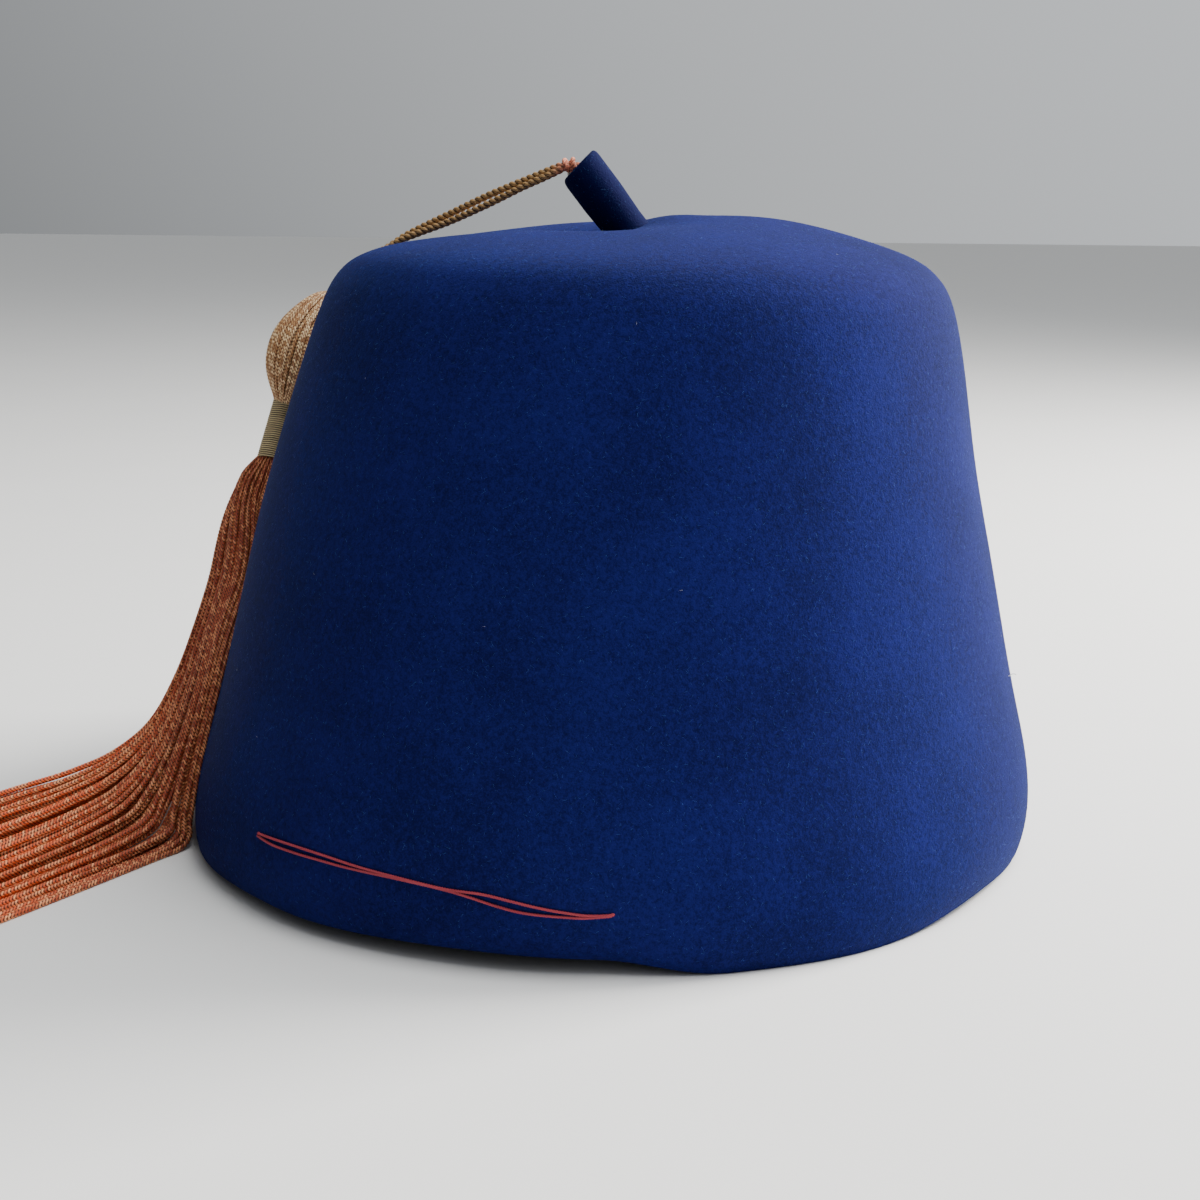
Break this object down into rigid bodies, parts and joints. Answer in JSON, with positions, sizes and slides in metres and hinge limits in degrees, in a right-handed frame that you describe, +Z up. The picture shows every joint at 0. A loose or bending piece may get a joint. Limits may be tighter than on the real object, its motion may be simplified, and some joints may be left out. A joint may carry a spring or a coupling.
{
  "type": "fez hat",
  "caption": "Tapered felt fez with a soft shoulder, a leaning felt stem on top, twisted cords and a long tassel of knitted strands laid out beside it.",
  "frame": {"origin": "on the surface the hat rests on, under the middle of the crown's and stem's box", "axes": "+Z up, +Y to the back; the tassel hangs on the -X side and its skirt runs out to the front left"},
  "size_m": [0.2626, 0.1902, 0.1539],
  "materials": {
    "blue_felt": "soft wool felt, matt with a light nap",
    "blue_felt_stem": "rolled wool felt, matt",
    "copper_cord": "twisted yarn, satin",
    "copper_tassel": "knitted yarn strands, satin",
    "beige_thread": "wound thread, satin"
  },
  "bodies": {
    "root": {"crown": "blue_felt", "stem": "blue_felt_stem", "cord_upper": "copper_cord", "cord_lower": "copper_cord", "tassel": "copper_tassel", "neck_binding": "beige_thread"}
  },
  "joints": []
}
